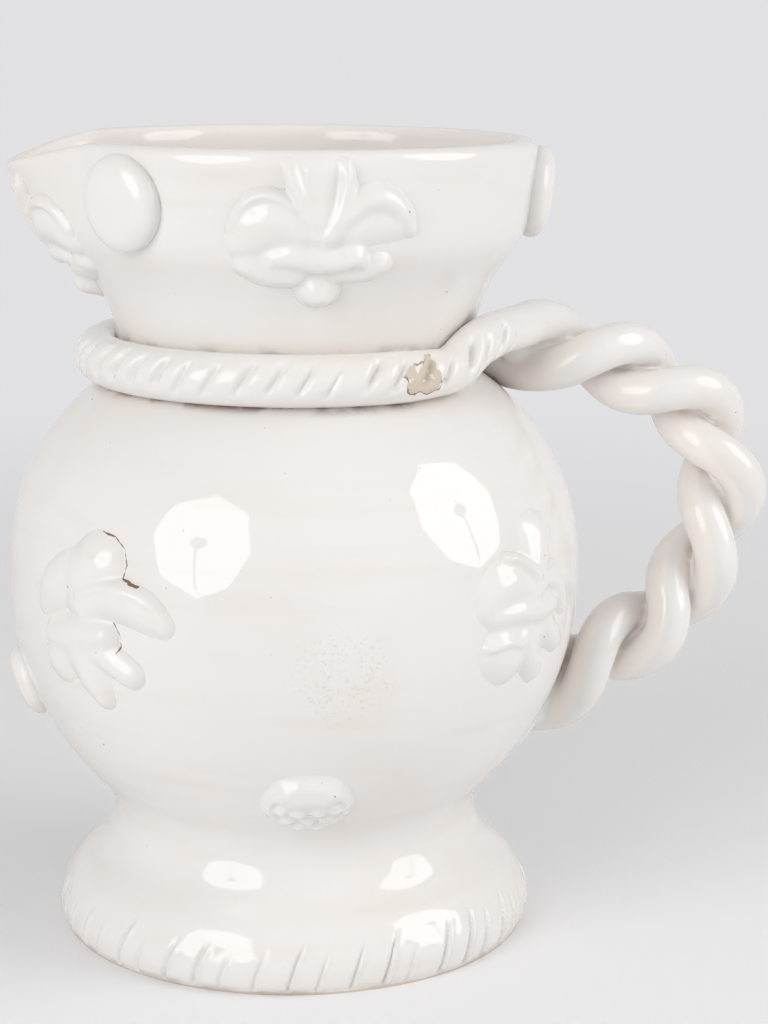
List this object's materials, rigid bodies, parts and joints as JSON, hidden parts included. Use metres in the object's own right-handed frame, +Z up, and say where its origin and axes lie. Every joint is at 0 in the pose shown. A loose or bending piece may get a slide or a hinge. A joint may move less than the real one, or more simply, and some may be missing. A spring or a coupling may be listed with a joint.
{
  "type": "ceramic pitcher",
  "caption": "Footed white-glazed ceramic pitcher with a round body, flared mouth with pinched spout, rope collar, twisted rope handle and applied fleur and disc ornaments.",
  "frame": {"origin": "on the ground, at the middle of the foot", "axes": "+Z up; +X towards the handle, so the spout points along -X"},
  "size_m": [0.2478, 0.1836, 0.2569],
  "materials": {
    "glaze": "gloss"
  },
  "bodies": {
    "root": {"foot": "glaze", "belly": "glaze", "neck": "glaze", "neck_rope": "glaze", "handle_strand_front": "glaze", "handle_strand_back": "glaze", "neck_fleur_front": "glaze", "neck_fleur_spout": "glaze", "neck_fleur_back": "glaze", "neck_disc_front": "glaze", "neck_disc_back": "glaze", "neck_disc_handle": "glaze", "belly_fleur_front_left": "glaze", "belly_fleur_front_right": "glaze", "belly_fleur_back_left": "glaze", "belly_fleur_back_right": "glaze", "belly_disc_spout": "glaze", "raspberry_front": "glaze", "raspberry_back": "glaze"}
  },
  "joints": []
}
